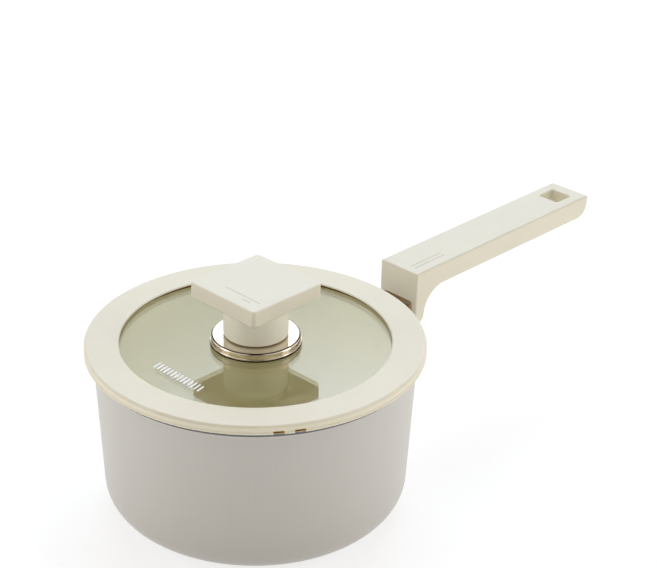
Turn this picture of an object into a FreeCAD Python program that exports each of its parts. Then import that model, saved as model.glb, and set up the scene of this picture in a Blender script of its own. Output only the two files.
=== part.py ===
import FreeCAD, Part
import math
import os
import re

import Sketcher

# Single-handled saucepan with a glass lid. The frame has its origin at the centre of the base,
# +Z up and +X along the handle. Lid pieces are drawn from the glass's upper face and the handle
# from the top of its front face; each one's Placement puts it in the frame.

SIZES = {
    # Pan: a tapered aluminium casting with a thicker turned-out rim.
    "pan_height": 100.0,
    "pan_foot_radius": 90.1,
    "pan_neck_radius": 94.8,
    "pan_neck_height": 95.8,
    "pan_rim_radius": 97.9,
    "pan_rim_edge": 1.7,
    "pan_rim_land": 4.2,
    "pan_wall": 2.4,
    "pan_floor": 4.5,
    "pan_foot_round": 17.8,
    "wall_lean": 2.8,
    # Steel disc let into the underside for induction hobs.
    "plate_radius": 64.0,
    "plate_thickness": 1.0,
    "plate_gap": 0.1,
    "plate_hole_radius": 1.4,
    "plate_inner_ring": 30.0,
    "plate_outer_ring": 52.0,
    # Bracket between the pan's wall and the handle, and its rivets.
    "foot_width": 38.0,
    "foot_low": 62.0,
    "foot_high": 89.5,
    "foot_thickness": 2.2,
    "foot_gap": 0.05,
    "arm_width": 15.0,
    "arm_depth": 8.0,
    "arm_drop": 24.8,
    "rivet_radius": 2.4,
    "rivet_head_radius": 4.8,
    "rivet_head_height": 1.9,
    "rivet_inner_radius": 4.2,
    "rivet_inner_height": 0.5,
    "rivet_height": 68.5,
    "rivet_turn": 7.6,
    # Handle moulding: a flat grip with a short leg at the pan's end.
    "handle_reach": 122.6,
    "handle_top": 110.0,
    "handle_length": 173.6,
    "handle_width": 31.0,
    "handle_rise": 1.75,
    "grip_depth": 14.05,
    "grip_end_depth": 12.8,
    "grip_end_lean": 1.0,
    "grip_end_round": 9.8,
    "leg_thickness": 8.5,
    "leg_depth": 40.3,
    "leg_heel": 32.5,
    "leg_hollow_round": 17.6,
    "leg_heel_round": 1.8,
    "handle_edge": 1.3,
    "socket_width": 24.2,
    "socket_top": 19.8,
    "socket_bottom": 33.6,
    "socket_depth": 4.1,
    "core_depth": 8.0,
    "socket_round": 4.5,
    "hang_near": 149.0,
    "hang_length": 14.7,
    "hang_width": 15.7,
    "hang_round": 1.2,
    # Screw that holds the handle on the bracket.
    "screw_drop": 28.5,
    "screw_seat": 8.3,
    "screw_seat_radius": 5.4,
    "screw_hole_radius": 2.8,
    "thread_radius": 2.4,
    "tapped_radius": 2.5,
    "screw_length": 12.5,
    "screw_head_radius": 4.5,
    "screw_head_height": 3.0,
    "cross_width": 1.3,
    "cross_length": 5.0,
    "cross_depth": 1.7,
    "lock_washer_radius": 4.6,
    "lock_washer_height": 1.1,
    "lock_washer_gap": 0.9,
    # Lid: tempered glass in a silicone rim.
    "lid_plane": 103.6,
    "glass_radius": 88.0,
    "glass_thickness": 4.0,
    "glass_edge": 1.2,
    "glass_hole_radius": 4.5,
    "glass_gap": 0.15,
    "rim_radius": 100.0,
    "rim_bore_radius": 79.6,
    "rim_top": 2.2,
    "rim_seat": 3.4,
    "rim_shoulder": 1.6,
    "rim_bead": 0.45,
    "rim_bead_height": 1.1,
    "rim_lip_gap": 0.9,
    "rim_lip_grip": 2.4,
    "rim_under_radius": 83.0,
    "rim_under": 6.0,
    "rim_plug_radius": 91.5,
    "rim_plug_depth": 9.0,
    "vent_width": 6.2,
    "vent_height": 1.9,
    "vent_offset": 5.9,
    "vent_start": 89.0,
    "vent_turn": -122.5,
    # Knob: a square slab on a round neck, over a polished bezel.
    "knob_width": 54.1,
    "knob_top": 38.0,
    "knob_slab": 9.9,
    "knob_corner": 2.6,
    "knob_edge": 0.9,
    "neck_radius": 19.1,
    "neck_base": 5.8,
    "neck_edge": 1.0,
    "neck_wall": 3.2,
    "boss_radius": 8.0,
    "cavity_height": 15.0,
    "insert_radius": 4.0,
    "insert_height": 14.0,
    "bezel_radius": 26.5,
    "bezel_top": 5.2,
    "bezel_base": 1.0,
    "bezel_edge": 1.3,
    "bezel_bead": 0.5,
    "bezel_bead_top": 1.9,
    "bezel_wall": 1.0,
    "hub_radius": 17.0,
    "packing_inner_radius": 6.0,
    "under_packing_radius": 17.0,
    "under_packing_height": 1.5,
    "cup_radius": 18.5,
    "cup_height": 1.3,
}

vector = FreeCAD.Vector
doc = FreeCAD.newDocument("saucepan")
dims = doc.addObject("Spreadsheet::Sheet", "dims")
for row, (alias, number) in enumerate(SIZES.items(), start=1):
    dims.set(f"A{row}", alias)
    dims.set(f"B{row}", str(number))
    dims.setAlias(f"B{row}", alias)
doc.recompute()


def bound(text):
    """The expression with every sheet name given its full address."""
    return re.sub(r"\b[a-z_]+\b(?!\()", r"dims.\g<0>", text)


def size(text):
    """The number that an expression in the sheet's names comes to."""
    return float(dims.evalExpression(bound(text)))


def bind(item, **expressions):
    """Ties properties of an object to expressions in the sheet's names."""
    for path, text in expressions.items():
        item.setExpression(path.replace("__", "."), bound(text))


def set_point(sketch, place, across, up):
    """Holds a sketch point at two coordinates given as expressions."""
    for kind, axis, text in (("DistanceX", -2, across), ("DistanceY", -1, up)):
        if text == "0":
            sketch.addConstraint(Sketcher.Constraint("PointOnObject", *place, axis))
        else:
            index = sketch.addConstraint(Sketcher.Constraint(kind, *place, size(text)))
            sketch.setExpression(f"Constraints[{index}]", bound(text))


def outline(sketch, corners):
    """Closed outline through corners (across, up) or (across, up, radius), all expressions."""
    count = len(corners)
    places = [vector(size(corner[0]), size(corner[1])) for corner in corners]
    ends = []
    arcs = []
    for index, corner in enumerate(corners):
        place = places[index]
        before = (places[index - 1] - place).normalize()
        after = (places[(index + 1) % count] - place).normalize()
        radius = size(corner[2]) if len(corner) > 2 else 0.0
        half = before.getAngle(after) / 2
        reach = radius / math.tan(half)
        ends.append((place + before * reach, place + after * reach))
        centre = place + (before + after).normalize() * (radius / math.sin(half))
        arcs.append((radius, centre, before.cross(after).z < 0))
    lines = []
    for index in range(count):
        segment = Part.LineSegment(ends[index][1], ends[(index + 1) % count][0])
        lines.append(sketch.addGeometry(segment, False))
    for index, corner in enumerate(corners):
        arriving = lines[index - 1]
        leaving = lines[index]
        radius, centre, left_turn = arcs[index]
        if not radius:
            sketch.addConstraint(Sketcher.Constraint("Coincident", arriving, 2, leaving, 1))
            set_point(sketch, (leaving, 1), corner[0], corner[1])
            continue
        start, stop = ends[index] if left_turn else reversed(ends[index])
        first = math.atan2(start.y - centre.y, start.x - centre.x)
        last = math.atan2(stop.y - centre.y, stop.x - centre.x)
        circle = Part.Circle(centre, vector(0, 0, 1), radius)
        arc = sketch.addGeometry(Part.ArcOfCircle(circle, first, last), False)
        near, far = (1, 2) if left_turn else (2, 1)
        sketch.addConstraint(Sketcher.Constraint("Tangent", arriving, 2, arc, near))
        sketch.addConstraint(Sketcher.Constraint("Tangent", arc, far, leaving, 1))
        rounding = sketch.addConstraint(Sketcher.Constraint("Radius", arc, radius))
        sketch.setExpression(f"Constraints[{rounding}]", bound(corner[2]))
        point = sketch.addGeometry(Part.Point(places[index]), True)
        sketch.addConstraint(Sketcher.Constraint("PointOnObject", point, 1, arriving))
        sketch.addConstraint(Sketcher.Constraint("PointOnObject", point, 1, leaving))
        set_point(sketch, (point, 1), corner[0], corner[1])


def rectangle(across, up, width, height, radius=None):
    """Corners of a rectangle about a centre, all rounded alike when a radius is given."""
    corners = []
    for side, level in ((-1, -1), (1, -1), (1, 1), (-1, 1)):
        corner = (f"{across} + {side} * ({width}) / 2", f"{up} + {level} * ({height}) / 2")
        corners.append(corner if radius is None else (*corner, radius))
    return corners


def circle(sketch, across, up, radius):
    """Circle about a point, its centre and radius given as expressions."""
    centre = vector(size(across), size(up))
    ring = sketch.addGeometry(Part.Circle(centre, vector(0, 0, 1), size(radius)), False)
    set_point(sketch, (ring, 3), across, up)
    index = sketch.addConstraint(Sketcher.Constraint("Radius", ring, size(radius)))
    sketch.setExpression(f"Constraints[{index}]", bound(radius))


def new_body(name):
    """Empty body whose label is the sub-part's name."""
    made = doc.addObject("PartDesign::Body", name)
    made.Label = name
    return made


def new_sketch(owner, name, plane, offset="0"):
    """Sketch on one of its body's origin planes, moved along the plane's normal."""
    made = owner.newObject("Sketcher::SketchObject", name)
    support = next(item for item in owner.Origin.OriginFeatures if item.Role == plane)
    made.AttachmentSupport = (support, [""])
    made.MapMode = "FlatFace"
    if offset != "0":
        made.setExpression("AttachmentOffset.Base.z", bound(offset))
    return made


def turned(name, corners):
    """Body turned about its Z axis from an outline of (radius, height) corners."""
    made = new_body(name)
    profile = new_sketch(made, f"{name}_profile", "XZ_Plane")
    outline(profile, corners)
    spin = made.newObject("PartDesign::Revolution", f"{name}_turning")
    spin.Profile = profile
    spin.ReferenceAxis = (profile, ["V_Axis"])
    spin.Angle = 360
    doc.recompute()
    return made


def ring(name, outer, inner, low, high, edge=None):
    """Turned ring between two radii and two heights, its outer edges rounded if asked."""
    rounding = () if edge is None else (edge,)
    return turned(
        name,
        [(inner, low), (outer, low, *rounding), (outer, high, *rounding), (inner, high)],
    )


def pad(owner, profile, name, length, symmetric=False):
    """Pad of a sketch, along its normal or to both sides."""
    made = owner.newObject("PartDesign::Pad", name)
    made.Profile = profile
    made.SideType = "Symmetric" if symmetric else "One side"
    bind(made, Length=length)
    doc.recompute()
    return made


def pocket(owner, profile, name, length, reverse=False):
    """Pocket of a sketch; raises unless it takes material away."""
    before = owner.Shape.Volume
    made = owner.newObject("PartDesign::Pocket", name)
    made.Profile = profile
    made.Reversed = reverse
    bind(made, Length=length)
    doc.recompute()
    if owner.Shape.Volume >= before:
        raise RuntimeError(f"{name} cuts nothing")
    return made


def round_edges(owner, name, radius, chosen):
    """Fillet of the body's edges that a test picks out."""
    base = owner.Tip
    names = [f"Edge{i}" for i, edge in enumerate(base.Shape.Edges, start=1) if chosen(edge)]
    made = owner.newObject("PartDesign::Fillet", name)
    made.Base = (base, names)
    bind(made, Radius=radius)
    doc.recompute()
    return made


def repeat(owner, feature, name, count):
    """Polar pattern of a feature about the body's Z axis."""
    made = owner.newObject("PartDesign::PolarPattern", name)
    made.Originals = [feature]
    axis = next(item for item in owner.Origin.OriginFeatures if item.Role == "Z_Axis")
    made.Axis = (axis, [""])
    made.Angle = 360
    made.Occurrences = count
    owner.Tip = made
    doc.recompute()
    return made


def cross_recess(owner, head_face):
    """Cross-head driver recess sunk into the end face of a screw's head."""
    slots = (("a", "cross_length", "cross_width"), ("b", "cross_width", "cross_length"))
    for turn, width, height in slots:
        profile = new_sketch(owner, f"{owner.Name}_cross_{turn}", "XY_Plane", head_face)
        outline(profile, rectangle("0", "0", width, height))
        pocket(owner, profile, f"{owner.Name}_recess_{turn}", "cross_depth", reverse=True)


def screw(name, length):
    """Pan-head screw, head down: the head's seat at height 0 and the shank above it."""
    made = turned(
        name,
        [
            ("0", "-screw_head_height"),
            ("screw_head_radius", "-screw_head_height", "screw_head_height / 2"),
            ("screw_head_radius", "0"),
            ("thread_radius", "0"),
            ("thread_radius", f"{length} - thread_radius / 3"),
            ("thread_radius * 2 / 3", length),
            ("0", length),
        ],
    )
    cross_recess(made, "-screw_head_height")
    return made


def split_washer(name):
    """Spring lock washer: a ring with a narrow gap, resting on height 0."""
    made = ring(name, "lock_washer_radius", "tapped_radius + 0.1", "0", "lock_washer_height")
    profile = new_sketch(made, f"{name}_gap", "XY_Plane")
    outline(profile, rectangle("lock_washer_radius", "0", "lock_washer_radius * 2", "lock_washer_gap"))
    pocket(made, profile, f"{name}_split", "lock_washer_height", reverse=True)
    return made


def pan_pieces():
    """Pan casting, the induction disc in its base, the handle bracket and the rivets."""
    shell = turned(
        "pan_shell",
        [
            ("0", "plate_thickness"),
            ("plate_radius + plate_gap", "plate_thickness"),
            ("plate_radius + plate_gap", "0"),
            ("pan_foot_radius", "0", "pan_foot_round"),
            ("pan_neck_radius", "pan_neck_height", "pan_wall"),
            ("pan_rim_radius", "pan_height - pan_rim_edge", "pan_rim_edge / 3"),
            ("pan_rim_radius", "pan_height", "pan_rim_edge / 3"),
            ("pan_rim_radius - pan_rim_land", "pan_height", "pan_rim_edge / 3"),
            ("pan_neck_radius - pan_wall", "pan_height - pan_rim_edge", "pan_rim_edge / 3"),
            (
                "pan_foot_radius - pan_wall"
                " + (pan_neck_radius - pan_foot_radius) * pan_floor / pan_neck_height",
                "pan_floor",
                "pan_foot_round - pan_wall",
            ),
            ("0", "pan_floor"),
        ],
    )

    plate = turned(
        "induction_plate",
        [
            ("0", "0"),
            ("plate_radius", "0"),
            ("plate_radius", "plate_thickness"),
            ("0", "plate_thickness"),
        ],
    )
    for place, count in (("plate_inner_ring", 12), ("plate_outer_ring", 20)):
        profile = new_sketch(plate, f"{place}_hole", "XY_Plane")
        circle(profile, place, "0", "plate_hole_radius")
        hole = pocket(plate, profile, f"{place}_pocket", "plate_thickness", reverse=True)
        repeat(plate, hole, f"{place}_pattern", count)

    rivet_seat = (
        "pan_foot_radius + (pan_neck_radius - pan_foot_radius) * rivet_height / pan_neck_height"
        " + foot_gap + foot_thickness"
    )
    rivet_place = (
        f"placement(vector(({rivet_seat}) * cos(rivet_turn); ({rivet_seat}) * sin(rivet_turn);"
        " rivet_height); rotation(rivet_turn; 90 + wall_lean; 0))"
    )
    grip = "(foot_thickness + foot_gap + pan_wall)"
    rivet = turned(
        "rivet",
        [
            ("0", f"-{grip} - rivet_inner_height"),
            ("rivet_inner_radius", f"-{grip} - rivet_inner_height", "rivet_inner_height * 0.7"),
            ("rivet_inner_radius", f"-{grip}"),
            ("rivet_radius", f"-{grip}"),
            ("rivet_radius", "0"),
            ("rivet_head_radius", "0"),
            ("rivet_head_radius", "rivet_head_height", "rivet_head_height * 0.7"),
            ("0", "rivet_head_height"),
        ],
    )
    bind(rivet, Placement=rivet_place)
    rivets = doc.addObject("Part::Compound", "bracket_rivets")
    rivets.Links = [rivet, mirrored(rivet)]

    hole = doc.addObject("Part::Cylinder", "rivet_hole")
    bind(hole, Radius="rivet_radius", Height=f"{grip} * 3")
    carrier = doc.addObject("Part::Compound", "rivet_hole_run")
    carrier.Links = [hole]
    hole.setExpression("Placement.Base.z", bound(f"-{grip} * 2"))
    bind(carrier, Placement=rivet_place)
    holes = doc.addObject("Part::MultiFuse", "rivet_holes")
    holes.Shapes = [carrier, mirrored(carrier)]

    pan = cut("pan_body", shell, holes)

    foot_block = bar("foot_block", "foot_width", "foot_low", "foot_high", "rivet_head_radius",
                     "pan_foot_radius * 0.8", "pan_foot_radius * 0.4")
    foot = doc.addObject("Part::Common", "bracket_foot")
    foot.Base = foot_block
    foot.Tool = wall_cone("foot_outside", "foot_gap + foot_thickness")
    arm = bar("arm_bar", "arm_width", "handle_top - arm_drop - arm_depth", "handle_top - arm_drop",
              "arm_depth / 6", "pan_foot_radius * 0.9",
              "handle_reach + socket_depth - pan_foot_radius * 0.9")
    blank = doc.addObject("Part::MultiFuse", "bracket_blank")
    blank.Shapes = [foot, arm]
    tapped = doc.addObject("Part::Cylinder", "bracket_tapping")
    bind(
        tapped,
        Radius="tapped_radius",
        Height="screw_length * 1.2",
        Placement="placement(vector(handle_reach + socket_depth - screw_length; 0;"
        " handle_top - screw_drop); rotation(0; 90; 0))",
    )
    openings = doc.addObject("Part::MultiFuse", "bracket_openings")
    openings.Shapes = [wall_cone("foot_inside", "foot_gap"), holes, tapped]
    bracket = cut("handle_bracket", blank, openings)
    return [pan, plate, bracket, rivets]


def mirrored(source):
    """Mirror image of an object across the plane through the handle."""
    made = doc.addObject("Part::Mirroring", f"{source.Name}_mirrored")
    made.Source = source
    made.Normal = vector(0, 1, 0)
    return made


def cut(name, base, tool):
    """Boolean cut labelled as a sub-part."""
    made = doc.addObject("Part::Cut", name)
    made.Base = base
    made.Tool = tool
    return made


def wall_cone(name, offset):
    """Solid cone that follows the pan's outer wall at an offset."""
    made = doc.addObject("Part::Cone", name)
    bind(
        made,
        Radius1=f"pan_foot_radius + {offset}",
        Radius2=f"pan_neck_radius + {offset}",
        Height="pan_neck_height",
    )
    return made


def bar(name, width, low, high, radius, start, length):
    """Bar of rounded rectangular section along X."""
    made = new_body(name)
    profile = new_sketch(made, f"{name}_section", "YZ_Plane", start)
    outline(profile, rectangle("0", f"({low} + {high}) / 2", width, f"{high} - ({low})", radius))
    pad(made, profile, f"{name}_pad", length)
    return made


def handle_pieces():
    """Handle moulding with its socket, hanging hole and screw seat, and its fastener."""
    handle = new_body("handle")
    side = new_sketch(handle, "handle_side", "XZ_Plane")
    outline(
        side,
        [
            ("0", "0"),
            ("0", "-leg_depth"),
            ("leg_thickness", "-leg_heel", "leg_heel_round"),
            ("leg_thickness", "-grip_depth", "leg_hollow_round"),
            ("handle_length - grip_end_lean", "-grip_end_depth", "grip_end_round"),
            ("handle_length", "handle_rise"),
        ],
    )
    pad(handle, side, "handle_pad", "handle_width", symmetric=True)

    half_width = size("handle_width") / 2
    corners = [vector(0, 0, 0), vector(0, 0, -size("leg_depth"))]
    corners.append(vector(size("handle_length"), 0, size("handle_rise")))

    def outer_edge(edge):
        middle = edge.BoundBox.Center
        on_side = abs(abs(middle.y) - half_width) < 0.01
        return on_side or any((middle - corner).Length < 0.01 for corner in corners)

    round_edges(handle, "handle_rounding", "handle_edge", outer_edge)

    socket_height = "(socket_bottom - socket_top)"
    mouth = new_sketch(handle, "socket_mouth", "YZ_Plane")
    outline(mouth, rectangle("0", "-(socket_top + socket_bottom) / 2", "socket_width",
                             socket_height, "socket_round"))
    pocket(handle, mouth, "socket", "socket_depth", reverse=True)
    core_height = "(arm_drop - socket_top)"
    core = new_sketch(handle, "core_mouth", "YZ_Plane")
    outline(core, rectangle("0", f"-socket_top - {core_height} / 2", "socket_width",
                            core_height, f"{core_height} * 0.49"))
    pocket(handle, core, "core", "core_depth", reverse=True)

    hang = new_sketch(handle, "hang_mouth", "XY_Plane", "handle_rise * 2")
    outline(hang, rectangle("hang_near + hang_length / 2", "0", "hang_length", "hang_width",
                            "hang_round"))
    pocket(handle, hang, "hanging_hole", "grip_depth * 2")

    shank = new_sketch(handle, "shank_mouth", "YZ_Plane")
    circle(shank, "0", "-screw_drop", "screw_hole_radius")
    pocket(handle, shank, "shank_hole", "leg_thickness * 2", reverse=True)
    seat = new_sketch(handle, "seat_mouth", "YZ_Plane", "screw_seat")
    circle(seat, "0", "-screw_drop", "screw_seat_radius")
    pocket(handle, seat, "screw_seat_pocket", "leg_thickness * 2", reverse=True)

    near = size("hang_near") - 0.1
    far = size("hang_near + hang_length") + 0.1

    def hang_edge(edge):
        box = edge.BoundBox
        inside = near < box.XMin and box.XMax < far and box.YLength < size("hang_width") + 0.1
        return inside and box.ZLength < 1 and abs(box.Center.y) < size("hang_width") / 2 + 0.1

    round_edges(handle, "hang_rounding", "handle_edge / 3", hang_edge)
    bind(handle, Placement="placement(vector(handle_reach; 0; handle_top); rotation(0; 0; 0))")

    washer = split_washer("handle_lock_washer")
    bolt = screw("handle_screw", "screw_length + lock_washer_height")
    seat_place = "placement(vector(handle_reach + screw_seat + {}; 0; handle_top - screw_drop);"
    bind(washer, Placement=seat_place.format("0") + " rotation(0; 90; 0))")
    bind(bolt, Placement=seat_place.format("lock_washer_height") + " rotation(0; -90; 0))")
    return [handle, washer, bolt]


def lid_pieces():
    """Glass panel and silicone rim."""
    glass = ring("glass_panel", "glass_radius", "glass_hole_radius", "-glass_thickness", "0",
                 "glass_edge")

    rim = turned(
        "silicone_rim",
        [
            ("rim_bore_radius", "rim_top", "rim_lip_gap"),
            ("rim_bore_radius", "rim_lip_gap", "rim_lip_gap / 3"),
            ("rim_bore_radius + rim_lip_grip", "glass_gap"),
            ("glass_radius + glass_gap", "glass_gap"),
            ("glass_radius + glass_gap", "-glass_thickness - glass_gap"),
            ("rim_under_radius", "-glass_thickness - glass_gap"),
            ("rim_under_radius", "-rim_under", "rim_lip_gap / 2"),
            ("rim_plug_radius - rim_seat", "-rim_plug_depth", "rim_lip_gap"),
            ("rim_plug_radius", "-rim_plug_depth", "rim_lip_gap"),
            ("rim_plug_radius", "-rim_seat"),
            ("rim_radius", "-rim_seat", "rim_bead"),
            ("rim_radius", "rim_bead_height - rim_seat", "rim_bead / 2"),
            ("rim_radius - rim_bead", "rim_bead_height + rim_bead - rim_seat", "rim_bead"),
            ("rim_radius - rim_bead", "0", "rim_bead"),
            ("rim_radius", "rim_bead", "rim_bead / 2"),
            ("rim_radius", "rim_top", "rim_shoulder"),
        ],
    )
    for side in (-1, 1):
        name = "left" if side < 0 else "right"
        mouth = new_sketch(rim, f"vent_{name}_mouth", "YZ_Plane", "vent_start")
        outline(mouth, rectangle(f"{side} * vent_offset",
                                 "(vent_height - rim_seat - rim_plug_depth - 1) / 2",
                                 "vent_width", "vent_height - rim_seat + rim_plug_depth + 1",
                                 "vent_height / 4"))
        pocket(rim, mouth, f"vent_{name}", "rim_radius - vent_start + 1", reverse=True)
    bind(glass, Placement="placement(vector(0; 0; lid_plane); rotation(0; 0; 0))")
    bind(rim, Placement="placement(vector(0; 0; lid_plane); rotation(vent_turn; 0; 0))")
    return [glass, rim]


def knob_pieces():
    """Knob and the stack that clamps it through the glass."""
    knob = new_body("knob")
    neck = new_sketch(knob, "neck_section", "XY_Plane", "neck_base")
    circle(neck, "0", "0", "neck_radius")
    pad(knob, neck, "neck", "knob_top - neck_base - knob_slab / 2")
    slab = new_sketch(knob, "slab_section", "XY_Plane", "knob_top - knob_slab")
    outline(slab, rectangle("0", "0", "knob_width", "knob_width", "knob_corner"))
    pad(knob, slab, "slab", "knob_slab")

    def slab_edge(edge):
        box = edge.BoundBox
        beyond_neck = max(abs(box.Center.x), abs(box.Center.y)) > size("neck_radius")
        return box.ZLength < 0.01 and beyond_neck

    def neck_edge(edge):
        box = edge.BoundBox
        return box.ZLength < 0.01 and abs(box.ZMin - size("neck_base")) < 0.01

    round_edges(knob, "slab_rounding", "knob_edge", slab_edge)
    round_edges(knob, "neck_rounding", "neck_edge", neck_edge)
    hollow = new_sketch(knob, "cavity_section", "XY_Plane", "neck_base")
    circle(hollow, "0", "0", "neck_radius - neck_wall")
    circle(hollow, "0", "0", "boss_radius")
    pocket(knob, hollow, "cavity", "cavity_height", reverse=True)
    bore = new_sketch(knob, "insert_section", "XY_Plane", "neck_base")
    circle(bore, "0", "0", "insert_radius")
    pocket(knob, bore, "insert_bore", "insert_height", reverse=True)

    insert = ring("knob_insert", "insert_radius", "tapped_radius", "neck_base",
                  "neck_base + insert_height")
    bezel = turned(
        "knob_bezel",
        [
            ("screw_hole_radius", "bezel_top - bezel_wall"),
            ("bezel_radius - bezel_wall", "bezel_top - bezel_wall", "bezel_wall / 3"),
            ("bezel_radius - bezel_wall", "bezel_base"),
            ("bezel_radius + bezel_bead", "bezel_base", "bezel_wall / 3"),
            ("bezel_radius + bezel_bead", "bezel_bead_top", "bezel_bead * 0.9"),
            ("bezel_radius", "bezel_bead_top"),
            ("bezel_radius", "bezel_top", "bezel_edge"),
            ("hub_radius", "bezel_top"),
            ("hub_radius", "neck_base"),
            ("screw_hole_radius", "neck_base"),
        ],
    )
    packing = turned(
        "bezel_packing",
        [
            ("packing_inner_radius", "glass_gap"),
            ("bezel_radius + bezel_bead", "glass_gap"),
            ("bezel_radius + bezel_bead", "bezel_base"),
            ("bezel_radius - bezel_wall * 1.5", "bezel_base"),
            ("bezel_radius - bezel_wall * 1.5", "bezel_top - bezel_wall"),
            ("packing_inner_radius", "bezel_top - bezel_wall"),
        ],
    )
    under_glass = "(-glass_thickness - glass_gap)"
    bushing = ring("glass_bushing", "glass_hole_radius - glass_gap", "screw_hole_radius",
                   under_glass, "glass_gap")
    cup_face = f"({under_glass} - under_packing_height)"
    under_packing = ring("under_packing", "under_packing_radius", "glass_hole_radius",
                         cup_face, under_glass)
    washer_face = f"({cup_face} - cup_height)"
    cup = ring("clamp_washer", "cup_radius", "screw_hole_radius", washer_face, cup_face,
               "cup_height / 3")
    washer = split_washer("knob_lock_washer")
    seat = f"({washer_face} - lock_washer_height)"
    bolt = screw("knob_screw", f"insert_height + neck_base - thread_radius - {seat}")

    for piece in (knob, insert, bezel, packing, bushing, under_packing, cup):
        bind(piece, Placement="placement(vector(0; 0; lid_plane); rotation(0; 0; 0))")
    for piece in (washer, bolt):
        bind(piece, Placement=f"placement(vector(0; 0; lid_plane + {seat}); rotation(0; 0; 0))")
    return [knob, insert, bezel, packing, bushing, under_packing, cup, washer, bolt]


pieces = pan_pieces() + handle_pieces() + lid_pieces() + knob_pieces()
doc.recompute()

for item in doc.Objects:
    if "Invalid" in item.State or "Error" in item.State:
        raise RuntimeError(f"{item.Name} failed: {item.State}")
for piece in pieces:
    if piece.Shape.isNull() or not piece.Shape.isValid():
        raise RuntimeError(f"{piece.Label} has no valid shape")

os.makedirs("parts", exist_ok=True)
for piece in pieces:
    piece.Shape.exportStep(f"parts/{piece.Label}.step")
    print(piece.Label, len(piece.Shape.Solids), round(piece.Shape.Volume, 1))
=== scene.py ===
import math

import bmesh
import bpy
from mathutils import Matrix, Vector


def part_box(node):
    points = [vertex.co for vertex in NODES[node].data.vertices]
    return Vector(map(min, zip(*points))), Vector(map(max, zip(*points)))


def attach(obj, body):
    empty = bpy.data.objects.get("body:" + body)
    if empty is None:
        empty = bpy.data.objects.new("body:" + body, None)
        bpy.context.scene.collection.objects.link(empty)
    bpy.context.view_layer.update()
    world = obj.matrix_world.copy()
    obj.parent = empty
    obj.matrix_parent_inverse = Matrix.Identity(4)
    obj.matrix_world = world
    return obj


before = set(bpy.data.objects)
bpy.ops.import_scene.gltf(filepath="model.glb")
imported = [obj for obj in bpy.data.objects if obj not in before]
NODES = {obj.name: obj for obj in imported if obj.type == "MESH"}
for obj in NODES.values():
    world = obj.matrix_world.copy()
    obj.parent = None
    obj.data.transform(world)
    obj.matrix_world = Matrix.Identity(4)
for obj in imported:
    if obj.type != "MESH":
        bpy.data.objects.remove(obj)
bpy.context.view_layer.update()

# Saucepan with a glass lid, on a pale floor in soft light. Lengths are metres in the CAD frame:
# origin at the centre of the pan's base, +Z up and +X along the handle. Angles are degrees, and
# colours are linear red, green and blue.

GLASS_LOW, GLASS_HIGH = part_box("glass_panel")
HANDLE_LOW, HANDLE_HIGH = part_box("handle")
PAN_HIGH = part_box("pan_body")[1]
RIM_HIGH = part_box("silicone_rim")[1]
KNOB_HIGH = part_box("knob")[1]
BEZEL_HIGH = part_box("knob_bezel")[1]
LID_CENTRE = Vector((0, 0, GLASS_HIGH.z))
MM = 0.001

# Camera, placed by angles round the lid's centre. Its lens and sensor are in millimetres.
CAMERA_AZIMUTH = -43.0
CAMERA_ELEVATION = 28.7
CAMERA_DISTANCE = 1.0368
CAMERA_AIM = Vector((0.0410, -0.0183, 0.1332))
CAMERA_ROLL = 1.154
CAMERA_LENS = 97.0
CAMERA_SENSOR = 36
CAMERA_NEAR = 0.05
CAMERA_FAR = 50

# Studio light: an even ambient with glows added to it. Each glow has the azimuth from the camera
# and the elevation of its middle, its inner and outer half-angles, and its colour, which is below
# zero for a dark patch. A glow that reaches right round falls off evenly. The rest have soft edges.
AMBIENT = (0.44, 0.408, 0.365)
RIGHT_ROUND = 180
OVERHEAD_PATCHES = ((0, 56), (0, 70), (0, 84), (180, 82), (180, 68))
SIDE_PATCHES = ((140, 24), (-140, 24), (132, 42), (-132, 42))
GLOWS = (
    (180, 0, 0, RIGHT_ROUND, (1.05, 0.99, 0.92)),
    (180, 30, 12, 48, (0.0, 0.2, 0.38)),
    (172, 52, 14, 26, (2.7, 3.1, 3.9)),
    (179, 33, 0, 7, (0.58, 0.58, 0.56)),
    (0, 22, 6, 34, (-0.27, -0.27, -0.27)),
    *((*place, 9, 14, (-4.0, -4.0, -4.0)) for place in OVERHEAD_PATCHES),
    *((*place, 10, 17, (-2.5, -2.5, -2.5)) for place in SIDE_PATCHES),
)
# Softboxes: azimuth from the camera, elevation, distance, width, height and radiance.
SOFTBOXES = (
    ("softbox_left", -82, 18, 1.3, 0.5, 0.9, 1.5),
    ("softbox_right", 82, 18, 1.3, 0.5, 0.9, 1.9),
)

# Floor: its own glow, and the share of it that doesn't light matte surfaces. The whole share is
# held back up to one distance from the pan's axis, and none of it beyond the other.
FLOOR_HALF_SIZE = 8.0
FLOOR_GLOW = 0.7
FLOOR_DIMMING = 0.45
FLOOR_DIM_START = 110 * MM
FLOOR_DIM_END = 190 * MM

# Colours of the mouldings. The neck is lighter than the slab only to offset its shade.
HANDLE_CREAM = (0.76, 0.722, 0.585)
KNOB_CREAM = (0.785, 0.752, 0.62)
NECK_CREAM = (0.97, 0.965, 0.83)
RULE_SHADE = (0.6, 0.6, 0.56)

# Colours of the soft parts.
RIM_CREAM = (0.8, 0.755, 0.605)
# Painted light: the plug's inner wall is lighter than the rim to offset its shade.
PLUG_PAINTED_LIGHT = (0.98, 0.96, 0.86)
# Painted warm bounce light and shade on the vents' walls.
VENT_PAINTED_BOUNCE = (0.95, 0.6, 0.1)
# Painted shade in the channel round the glass and in the gap under the lip.
CHANNEL_PAINTED_SHADE = (0.2, 0.085, 0.012)
# Painted warm shade in the socket at the front of the handle's leg.
SOCKET_PAINTED_SHADE = (0.8, 0.6, 0.37)
PACKING_CREAM = (0.68, 0.66, 0.58)
PACKING_BLACK = (0.016, 0.015, 0.014)

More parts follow.
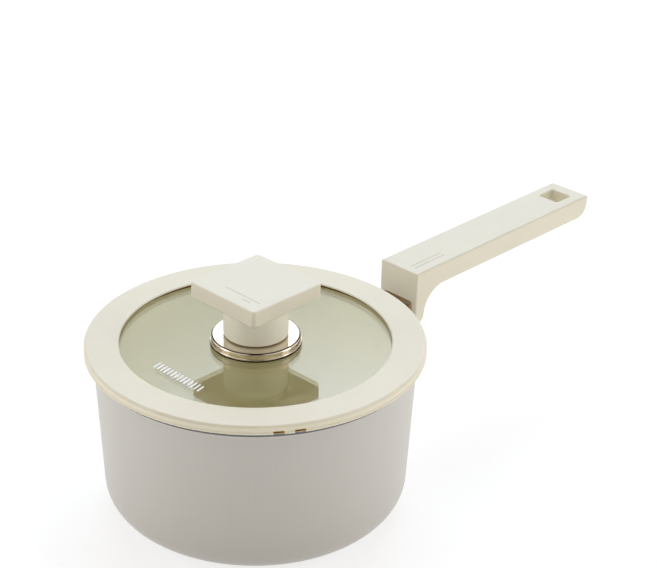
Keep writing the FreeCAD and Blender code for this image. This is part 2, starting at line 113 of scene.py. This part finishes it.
# Colours of the pan's coatings, the glass, the print and the floor.
COAT_GREY = (0.568, 0.548, 0.508)
COAT_IVORY = (0.93, 0.89, 0.74)
COAT_SPECK = (0.55, 0.51, 0.4)
GLASS_OLIVE = (0.975, 0.955, 0.76)
GLASS_SHADOW = (0.98, 0.97, 0.9)
PRINT_WHITE = (0.9, 0.9, 0.88)
FLOOR_PALE = (0.36, 0.36, 0.36)

# Colours of the metals.
EDGE_METAL = (0.6, 0.58, 0.55)
# Bare metal at the pan's turned edge, darkened with painted shade from the lid's skirt.
BARE_EDGE_PAINTED_SHADE = (0.13, 0.13, 0.13)
PLATE_STEEL = (0.58, 0.57, 0.56)
FASTENER_STEEL = (0.56, 0.55, 0.54)
BRACKET_STEEL = (0.74, 0.72, 0.68)
RIVET_ALUMINIUM = (0.72, 0.72, 0.73)
INSERT_BRASS = (0.68, 0.5, 0.24)
BEZEL_PLATING = (0.76, 0.69, 0.6)
BEZEL_DARK = (0.07, 0.045, 0.025)

# Pan: where the coating stops at the turned edge, the underside's height and the inner wall's
# radius at the rivets. Faces whose normals rise more than these are on the edge, or on the inside.
BARE_EDGE_LOW = PAN_HIGH.z - 1.75 * MM
# Above this the outside coating turns to bare metal darkened with painted shade.
COAT_TOP = PAN_HIGH.z - 3.2 * MM
UNDERSIDE_TOP = 2 * MM
WALL_INSIDE = 92 * MM
EDGE_RISE = 0.3
INSIDE_RISE = 0.1

# Underside of the knob's slab.
SLAB_LOW = KNOB_HIGH.z - 11 * MM

# Opening in the front of the handle's leg, which the bracket's arm runs into. Its faces carry
# painted warm shade.
SOCKET_LOW = HANDLE_HIGH.z - 36 * MM
SOCKET_HIGH = HANDLE_HIGH.z - 21 * MM
SOCKET_HALF_WIDTH = 12.4 * MM
SOCKET_MOUTH = HANDLE_LOW.x + 0.3 * MM
SOCKET_FLOOR = HANDLE_LOW.x + 6 * MM

# Lid's rim: the pair of vents cut into its underside, the inner wall of its plug below the glass,
# and its channel for the glass, which carry painted light and shade. Masks fade in over SOFT_EDGE.
VENT_AZIMUTH = -122.5
VENT_OFFSET = 5.9 * MM
VENT_WIDTH = 6.3 * MM
VENT_START = 88.8 * MM
VENT_TOP = GLASS_HIGH.z - 1.4 * MM
VENT_LOW = GLASS_HIGH.z - 4.6 * MM
PLUG_INSIDE = 84.5 * MM
PLUG_FADE = 0.5 * MM
CHANNEL_RADIUS = 79 * MM
CHANNEL_PLAY = 0.25 * MM
LIP_GAP = 1.3 * MM
SOFT_EDGE = 0.1 * MM

# Dark line round the bezel's top edge, which stands for a reflection.
BEZEL_LINE_INNER = 25.25 * MM
BEZEL_LINE_OUTER = 26.1 * MM

# Fine dashed rules sunk into the handle and the knob, as (axis, line, start, end). Below a face's
# top they fade out between two depths.
RULE_WIDTH = 0.7 * MM
RULE_DEPTH = 0.08 * MM
RULE_FADE_START = 2 * MM
RULE_FADE_END = 3 * MM
DASH_PITCH = 1.5 * MM
DASH_GAP = DASH_PITCH / 12
DASH_FULL = DASH_PITCH / 6
HANDLE_RULES = (
    ("X", -4.4 * MM, HANDLE_LOW.x + 6.6 * MM, HANDLE_LOW.x + 34.0 * MM),
    ("X", -7.9 * MM, HANDLE_LOW.x + 6.6 * MM, HANDLE_LOW.x + 34.0 * MM),
)
KNOB_RULES = (
    ("Y", -16.4 * MM, -20.8 * MM, 7.4 * MM),
    ("Y", -19.8 * MM, -16.5 * MM, -9.5 * MM),
)

# White strokes printed on the glass.
PRINT_COUNT = 14
PRINT_FIRST = Vector((-57.6 * MM, -19.2 * MM))
PRINT_PITCH = 2.85 * MM
PRINT_LENGTH = 6.2 * MM
PRINT_WIDTH = 1.25 * MM
PRINT_SLANT = 0.2
PRINT_THICKNESS = 0.03 * MM

# Range in which most of a noise texture's values lie.
NOISE_LOW = 0.3
NOISE_HIGH = 0.7

# Places of a Mix node's colour sockets.
MIX_SHARE = 0
MIX_FIRST = 6
MIX_SECOND = 7
MIX_RESULT = 2


def towards(azimuth, elevation):
    """Unit vector from the object at an azimuth from the camera's and an elevation."""
    turn = math.radians(CAMERA_AZIMUTH + azimuth)
    rise = math.radians(elevation)
    level = math.cos(rise)
    return Vector((math.sin(turn) * level, -math.cos(turn) * level, math.sin(rise)))


class Graph:
    """Shorthand for adding nodes to a node tree."""

    def __init__(self, tree):
        self.tree = tree

    def add(self, kind, inputs=(), **settings):
        """New node. Its inputs are numbers, colours or other nodes' outputs, by place or by name."""
        node = self.tree.nodes.new(kind)
        for key, value in settings.items():
            setattr(node, key, value)
        for key, value in inputs.items() if isinstance(inputs, dict) else enumerate(inputs):
            if isinstance(value, bpy.types.NodeSocket):
                self.tree.links.new(value, node.inputs[key])
            else:
                node.inputs[key].default_value = value
        return node

    def calc(self, operation, *values):
        """Result of a Math node."""
        return self.add("ShaderNodeMath", values, operation=operation).outputs[0]

    def vector(self, operation, *values):
        """Result of a Vector Math node, which is a number for a dot product or a length."""
        node = self.add("ShaderNodeVectorMath", values, operation=operation)
        return node.outputs["Value" if operation in ("DOT_PRODUCT", "LENGTH") else "Vector"]

    def spread(self, value, low, high, to_low=0.0, to_high=1.0, smooth=False):
        """Maps a range of a value onto another range, held at its ends."""
        kind = "SMOOTHSTEP" if smooth else "LINEAR"
        inputs = (value, low, high, to_low, to_high)
        return self.add("ShaderNodeMapRange", inputs, interpolation_type=kind).outputs[0]

    def mix(self, share, first, second):
        """Colour between two others, each a node's output or red, green and blue."""
        sides = [
            side if isinstance(side, bpy.types.NodeSocket) else (*side, 1)
            for side in (first, second)
        ]
        inputs = {MIX_SHARE: share, MIX_FIRST: sides[0], MIX_SECOND: sides[1]}
        return self.add("ShaderNodeMix", inputs, data_type="RGBA").outputs[MIX_RESULT]


class Material(Graph):
    """A material's main shader, and the patterns that vary it in the object's own coordinates."""

    def __init__(self, name, **values):
        self.made = bpy.data.materials.new(name)
        self.made.use_nodes = True
        super().__init__(self.made.node_tree)
        self.shader = self.tree.nodes["Principled BSDF"]
        self.place = self.add("ShaderNodeTexCoord").outputs["Object"]
        self.normal = None
        for key, value in values.items():
            self.shader.inputs[key.replace("_", " ")].default_value = value

    def drive(self, **sources):
        """Links outputs to the main shader's inputs."""
        for key, source in sources.items():
            self.tree.links.new(source, self.shader.inputs[key.replace("_", " ")])

    def noise(self, size, detail=2.0, stretch=(1, 1, 1)):
        """Noise from 0 to 1 with features about a size across, longer where stretch is below 1."""
        place = self.vector("MULTIPLY", self.place, stretch)
        inputs = {"Vector": place, "Scale": 1 / size, "Detail": detail}
        return self.add("ShaderNodeTexNoise", inputs).outputs["Fac"]

    def height(self):
        """Height in the object's own coordinates, which are the CAD frame's at rest."""
        return self.add("ShaderNodeSeparateXYZ", [self.place]).outputs["Z"]

    def radius(self):
        """Distance from the Z axis."""
        return self.vector("LENGTH", self.vector("MULTIPLY", self.place, (1, 1, 0)))

    def rings(self, size):
        """Noise that changes only with the distance from the Z axis, as on a turned face."""
        inputs = {"W": self.radius(), "Scale": 1 / size, "Detail": 1.0}
        node = self.add("ShaderNodeTexNoise", inputs, noise_dimensions="1D")
        return node.outputs["Fac"]

    def tone(self, pattern, colour, change):
        """Colour darkened and lightened by a share as a pattern rises."""
        dark = [part * (1 - change) for part in colour]
        light = [min(1.0, part * (1 + change)) for part in colour]
        return self.mix(self.spread(pattern, NOISE_LOW, NOISE_HIGH), dark, light)

    def gloss(self, pattern, low, high):
        """Roughness that goes from low to high as a pattern rises."""
        self.drive(Roughness=self.spread(pattern, NOISE_LOW, NOISE_HIGH, low, high))

    def relief(self, pattern, depth):
        """Adds a pattern, this deep, to the surface's relief."""
        inputs = {"Height": pattern, "Distance": depth, "Strength": 1.0}
        if self.normal:
            inputs["Normal"] = self.normal
        self.normal = self.add("ShaderNodeBump", inputs).outputs["Normal"]
        self.drive(Normal=self.normal)

    def band(self, value, low, high):
        """1 where a value lies between two others, with a soft edge."""
        away = self.calc("ABSOLUTE", self.calc("SUBTRACT", value, (low + high) / 2))
        half = (high - low) / 2
        return self.spread(away, half + SOFT_EDGE, half - SOFT_EDGE)

    def joined(self, operation, masks):
        """Math operation taken over a row of masks."""
        result = masks[0]
        for mask in masks[1:]:
            result = self.calc(operation, result, mask)
        return result

    def both(self, *masks):
        """Where all of some masks are set."""
        return self.joined("MULTIPLY", masks)

    def either(self, *masks):
        """Where any of some masks is set."""
        return self.joined("MAXIMUM", masks)

    def rule(self, axis, line, start, end):
        """Mask of a dashed line along X or Y."""
        parts = self.add("ShaderNodeSeparateXYZ", [self.place]).outputs
        along = parts[axis]
        across = parts["Y" if axis == "X" else "X"]
        phase = self.calc("PINGPONG", along, DASH_PITCH / 2)
        return self.both(
            self.band(across, line - RULE_WIDTH / 2, line + RULE_WIDTH / 2),
            self.band(along, start, end),
            self.spread(phase, DASH_GAP, DASH_FULL),
        )


def moulded(name, colour, rules=(), top=0.0):
    """Cream soft-touch plastic with a fine pebble, and rules sunk into its face at the top."""
    cream = Material(name, IOR=1.46)
    skin = cream.tone(cream.noise(30 * MM, detail=3), colour, 0.012)
    cream.gloss(cream.noise(6 * MM), 0.42, 0.52)
    cream.relief(cream.noise(0.45 * MM), 0.012 * MM)
    if rules:
        drawn = cream.either(*(cream.rule(*rule) for rule in rules))
        on_top = cream.spread(cream.height(), top - RULE_FADE_END, top - RULE_FADE_START)
        sunk = cream.both(drawn, on_top)
        shade = [part * share for part, share in zip(colour, RULE_SHADE)]
        skin = cream.mix(sunk, skin, shade)
        cream.relief(cream.calc("SUBTRACT", 1.0, sunk), RULE_DEPTH)
    cream.drive(Base_Color=skin)
    return cream.made


def rim_shades(rubber):
    """Masks and colours of painted light and shade: the plug's lighter inner wall, warm bounce light
    on the vents' walls and shade in the channel for the glass.
    """
    turn = math.radians(VENT_AZIMUTH)
    outward = (math.cos(turn), math.sin(turn), 0)
    along = (-outward[1], outward[0], 0)
    aside = rubber.calc("ABSOLUTE", rubber.vector("DOT_PRODUCT", rubber.place, along))
    reach = rubber.vector("DOT_PRODUCT", rubber.place, outward)
    plug_top = GLASS_LOW.z - CHANNEL_PLAY
    plug = rubber.both(
        rubber.spread(rubber.radius(), PLUG_INSIDE + SOFT_EDGE, PLUG_INSIDE - SOFT_EDGE),
        rubber.spread(rubber.height(), plug_top, plug_top - PLUG_FADE),
    )
    vents = rubber.both(
        rubber.band(aside, VENT_OFFSET - VENT_WIDTH / 2, VENT_OFFSET + VENT_WIDTH / 2),
        rubber.band(reach, VENT_START, RIM_HIGH.y + MM),
        rubber.band(rubber.height(), VENT_LOW, VENT_TOP),
    )
    channel = rubber.both(
        rubber.band(rubber.radius(), CHANNEL_RADIUS, GLASS_HIGH.x + MM),
        rubber.band(rubber.height(), GLASS_LOW.z - CHANNEL_PLAY, GLASS_HIGH.z + LIP_GAP),
    )
    # Painted light on the plug's wall, painted bounce light in the vents, painted shade in the
    # channel.
    return ((plug, PLUG_PAINTED_LIGHT), (vents, VENT_PAINTED_BOUNCE), (channel, CHANNEL_PAINTED_SHADE))


def silicone(name, colour, shades=None):
    """Matte silicone rubber with a fine even grain, and painted light and shade where shades says.
    """
    rubber = Material(name, IOR=1.42)
    skin = rubber.tone(rubber.noise(22 * MM, detail=3), colour, 0.012)
    for mask, shade in shades(rubber) if shades else ():
        skin = rubber.mix(mask, skin, shade)
    rubber.drive(Base_Color=skin)
    rubber.gloss(rubber.noise(5 * MM), 0.46, 0.56)
    rubber.relief(rubber.noise(0.35 * MM), 0.01 * MM)
    return rubber.made


def coated_outside():
    """Satin warm grey coating with faint upright streaks, turned off at the top to bare metal
    darkened with painted shade.
    """
    coat = Material("pan_coat_outside", Coat_Weight=0.25, Coat_Roughness=0.3, IOR=1.45)
    streaks = coat.noise(1.4 * MM, detail=3, stretch=(1, 1, 0.02))
    cloud = coat.noise(45 * MM)
    blend = coat.calc("MULTIPLY_ADD", streaks, 0.7, coat.calc("MULTIPLY", cloud, 0.3))
    bare = coat.spread(coat.height(), COAT_TOP, COAT_TOP + SOFT_EDGE)
    skin = coat.tone(blend, COAT_GREY, 0.013)
    coat.drive(Base_Color=coat.mix(bare, skin, BARE_EDGE_PAINTED_SHADE), Metallic=bare)
    coat.gloss(streaks, 0.4, 0.5)
    coat.relief(coat.noise(0.3 * MM), 0.006 * MM)
    coat.relief(streaks, 0.012 * MM)
    return coat.made


def coated_inside():
    """Ivory ceramic coating with fine darker specks."""
    coat = Material("pan_coat_inside", Coat_Weight=0.3, Coat_Roughness=0.15)
    ivory = coat.tone(coat.noise(30 * MM), COAT_IVORY, 0.015)
    specks = coat.spread(coat.noise(0.7 * MM, detail=1), 0.72, 0.78)
    coat.drive(Base_Color=coat.mix(specks, ivory, COAT_SPECK))
    coat.gloss(coat.noise(4 * MM), 0.32, 0.42)
    coat.relief(coat.noise(1.2 * MM), 0.01 * MM)
    return coat.made


def turned_metal(name, colour):
    """Bare metal with the fine rings of a lathe."""
    metal = Material(name, Metallic=1.0, Anisotropic=0.4)
    rings = metal.rings(0.18 * MM)
    metal.drive(Base_Color=metal.tone(rings, colour, 0.06))
    metal.gloss(rings, 0.22, 0.36)
    metal.relief(rings, 0.008 * MM)
    return metal.made


def brushed_metal(name, colour, stretch):
    """Bare metal brushed one way."""
    metal = Material(name, Metallic=1.0)
    streaks = metal.noise(0.25 * MM, stretch=stretch)
    metal.drive(Base_Color=metal.tone(streaks, colour, 0.05))
    metal.gloss(streaks, 0.24, 0.38)
    metal.relief(streaks, 0.008 * MM)
    return metal.made


def satin_metal(name, colour):
    """Bare metal with an even fine grain."""
    metal = Material(name, Metallic=1.0)
    metal.drive(Base_Color=metal.tone(metal.noise(4 * MM, detail=3), colour, 0.04))
    metal.gloss(metal.noise(1.5 * MM), 0.3, 0.42)
    metal.relief(metal.noise(0.3 * MM), 0.008 * MM)
    return metal.made


def polished_metal():
    """Mirror plating with very faint wiping marks, and a painted reflection: a dark line round the
    bezel's top edge.
    """
    chrome = Material("chrome_polished", Metallic=1.0)
    wiped = chrome.noise(9 * MM, detail=3, stretch=(1, 0.3, 1))
    line = chrome.both(
        chrome.band(chrome.radius(), BEZEL_LINE_INNER, BEZEL_LINE_OUTER),
        chrome.band(chrome.height(), BEZEL_HIGH.z - MM, BEZEL_HIGH.z),
    )
    plating = chrome.tone(wiped, BEZEL_PLATING, 0.015)
    chrome.drive(Base_Color=chrome.mix(line, plating, BEZEL_DARK))
    chrome.gloss(wiped, 0.01, 0.03)
    return chrome.made


def tinted_glass():
    """Olive-tinted glass. Lamps shine through it by a transparent shader for shadow rays."""
    pane = Material("glass_tinted", Transmission_Weight=1.0, IOR=1.5)
    film = pane.noise(40 * MM)
    pane.drive(Base_Color=pane.tone(film, GLASS_OLIVE, 0.01))
    pane.gloss(film, 0.0, 0.004)
    clear = pane.add("ShaderNodeBsdfTransparent", [(*GLASS_SHADOW, 1)])
    shadow = pane.add("ShaderNodeLightPath").outputs["Is Shadow Ray"]
    sides = (shadow, pane.shader.outputs["BSDF"], clear.outputs["BSDF"])
    blended = pane.add("ShaderNodeMixShader", sides)
    out = pane.tree.nodes["Material Output"]
    pane.tree.links.new(blended.outputs["Shader"], out.inputs["Surface"])
    return pane.made


def floor_paper():
    """Pale paper that glows, but less for matte surfaces where it's near the pan's foot."""
    paper = Material("floor_paper", Roughness=0.9, Specular_IOR_Level=0.2)
    paper.shader.inputs["Emission Color"].default_value = (1, 1, 1, 1)
    paper.drive(Base_Color=paper.tone(paper.noise(300 * MM), FLOOR_PALE, 0.003))
    bounced = paper.add("ShaderNodeLightPath").outputs["Is Diffuse Ray"]
    near = paper.spread(paper.radius(), FLOOR_DIM_END, FLOOR_DIM_START)
    dimmed = paper.both(bounced, near)
    loss = -FLOOR_GLOW * FLOOR_DIMMING
    paper.drive(Emission_Strength=paper.calc("MULTIPLY_ADD", dimmed, loss, FLOOR_GLOW))
    return paper.made


def dress(node, *materials, choose=None):
    """Gives a CAD node its materials, and each face the one that choose(centre, normal) picks."""
    mesh = NODES[node].data
    mesh.materials.clear()
    for material in materials:
        mesh.materials.append(material)
    if choose:
        for face in mesh.polygons:
            face.material_index = choose(face.center, face.normal)


def pan_zone(place, normal):
    """0 outside, 1 inside, 2 on the bare turned edge."""
    if place.z > BARE_EDGE_LOW and normal.z > EDGE_RISE:
        return 2
    inward = normal.z > INSIDE_RISE or normal.xy.dot(place.xy) < 0
    return 1 if inward and place.z > UNDERSIDE_TOP else 0


def rivet_zone(place, normal):
    """0 outside the pan, 1 where the inner heads carry the coating."""
    return 1 if place.xy.length < WALL_INSIDE else 0


def handle_zone(place, normal):
    """0 on the outside, 1 in the opening at the front of the leg, which carries painted shade."""
    in_depth = SOCKET_MOUTH < place.x < SOCKET_FLOOR
    in_height = SOCKET_LOW < place.z < SOCKET_HIGH
    return 1 if in_depth and in_height and abs(place.y) < SOCKET_HALF_WIDTH else 0


def knob_zone(place, normal):
    """0 on the slab, 1 on the neck."""
    return 1 if place.z < SLAB_LOW else 0


def dress_all():
    """Makes the materials and puts them on all CAD nodes."""
    handle_cream = moulded("cream_handle", HANDLE_CREAM, HANDLE_RULES, HANDLE_HIGH.z)
    knob_cream = moulded("cream_knob", KNOB_CREAM, KNOB_RULES, KNOB_HIGH.z)
    neck_cream = moulded("cream_neck", NECK_CREAM)
    rim = silicone("silicone_cream", RIM_CREAM, rim_shades)
    packing = silicone("silicone_packing", PACKING_CREAM)
    steel = satin_metal("steel_satin", FASTENER_STEEL)
    outside = coated_outside()
    inside = coated_inside()
    edge = turned_metal("metal_turned", EDGE_METAL)
    dress("pan_body", outside, inside, edge, choose=pan_zone)
    dress("induction_plate", turned_metal("steel_turned", PLATE_STEEL))
    aluminium = satin_metal("aluminium_satin", RIVET_ALUMINIUM)
    dress("bracket_rivets", aluminium, inside, choose=rivet_zone)
    dress("handle_bracket", brushed_metal("steel_brushed", BRACKET_STEEL, stretch=(0.05, 1, 1)))
    for node in ("handle_lock_washer", "handle_screw", "clamp_washer", "knob_lock_washer",
                 "knob_screw"):
        dress(node, steel)
    dress("handle", handle_cream, silicone("socket_painted_shade", SOCKET_PAINTED_SHADE), choose=handle_zone)
    dress("knob", knob_cream, neck_cream, choose=knob_zone)
    dress("silicone_rim", rim)
    dress("bezel_packing", silicone("rubber_black", PACKING_BLACK))
    for node in ("glass_bushing", "under_packing"):
        dress(node, packing)
    dress("knob_bezel", polished_metal())
    dress("knob_insert", turned_metal("brass_turned", INSERT_BRASS))
    dress("glass_panel", tinted_glass())


def print_on_glass():
    """Row of plain white strokes on the glass, drawn as thin plates on its upper face."""
    plates = bmesh.new()
    half = PRINT_WIDTH / 2
    for index in range(PRINT_COUNT):
        start = PRINT_FIRST + Vector((0, index * PRINT_PITCH))
        end = start + Vector((-PRINT_LENGTH, -PRINT_LENGTH * PRINT_SLANT))
        outline = [(start, -half), (start, half), (end, half), (end, -half)]
        low, high = (
            [plates.verts.new((point.x, point.y + side, level)) for point, side in outline]
            for level in (GLASS_HIGH.z, GLASS_HIGH.z + PRINT_THICKNESS)
        )
        plates.faces.new(high)
        plates.faces.new(reversed(low))
        for corner in range(len(outline)):
            after = (corner + 1) % len(outline)
            plates.faces.new((low[corner], low[after], high[after], high[corner]))
    bmesh.ops.recalc_face_normals(plates, faces=plates.faces)
    mesh = bpy.data.meshes.new("glass_strokes")
    plates.to_mesh(mesh)
    plates.free()
    ink = Material("ink_white", Roughness=0.5)
    ink.drive(Base_Color=ink.tone(ink.noise(0.6 * MM), PRINT_WHITE, 0.03))
    mesh.materials.append(ink.made)
    strokes = bpy.data.objects.new("glass_strokes", mesh)
    bpy.context.scene.collection.objects.link(strokes)
    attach(strokes, "lid_fittings")


def make_floor():
    """Large square floor under the pan."""
    half = FLOOR_HALF_SIZE
    mesh = bpy.data.meshes.new("floor")
    corners = [(-half, -half, 0), (half, -half, 0), (half, half, 0), (-half, half, 0)]
    mesh.from_pydata(corners, [], [range(len(corners))])
    mesh.materials.append(floor_paper())
    floor = bpy.data.objects.new("floor", mesh)
    bpy.context.scene.collection.objects.link(floor)


def make_world():
    """Surrounding light, built from the ambient and the glows."""
    world = bpy.data.worlds.new("studio")
    world.use_nodes = True
    graph = Graph(world.node_tree)
    seen = graph.add("ShaderNodeTexCoord").outputs["Generated"]
    light = AMBIENT
    for azimuth, elevation, inner, outer, colour in GLOWS:
        facing = graph.vector("DOT_PRODUCT", seen, towards(azimuth, elevation))
        rim, core = (math.cos(math.radians(angle)) for angle in (outer, inner))
        share = graph.spread(facing, rim, core, smooth=outer < RIGHT_ROUND)
        glow = graph.vector("SCALE", colour)
        graph.tree.links.new(share, glow.node.inputs["Scale"])
        light = graph.vector("ADD", light, glow)
    light = graph.vector("MAXIMUM", light, (0, 0, 0))
    graph.tree.links.new(light, graph.tree.nodes["Background"].inputs["Color"])
    bpy.context.scene.world = world


def make_softboxes():
    """Rectangular lamps that face the middle of the lid."""
    for name, azimuth, elevation, distance, width, height, radiance in SOFTBOXES:
        data = bpy.data.lights.new(name, "AREA")
        data.shape = "RECTANGLE"
        data.size = width
        data.size_y = height
        data.energy = radiance * math.pi * width * height
        away = towards(azimuth, elevation)
        lamp = bpy.data.objects.new(name, data)
        lamp.location = LID_CENTRE + away * distance
        lamp.rotation_mode = "QUATERNION"
        lamp.rotation_quaternion = (-away).to_track_quat("-Z", "Y")
        bpy.context.scene.collection.objects.link(lamp)


def make_camera():
    """Camera at the photograph's viewing angle."""
    data = bpy.data.cameras.new("camera")
    data.sensor_width = CAMERA_SENSOR
    data.lens = CAMERA_LENS
    data.clip_start = CAMERA_NEAR
    data.clip_end = CAMERA_FAR
    place = LID_CENTRE + towards(0, CAMERA_ELEVATION) * CAMERA_DISTANCE
    look = (CAMERA_AIM - place).to_track_quat("-Z", "Y").to_matrix().to_4x4()
    roll = Matrix.Rotation(math.radians(CAMERA_ROLL), 4, "Z")
    camera = bpy.data.objects.new("camera", data)
    camera.matrix_world = Matrix.Translation(place) @ look @ roll
    bpy.context.scene.collection.objects.link(camera)
    bpy.context.scene.camera = camera


dress_all()
print_on_glass()
make_floor()
make_world()
make_softboxes()
make_camera()
bpy.context.scene.view_settings.view_transform = "Standard"
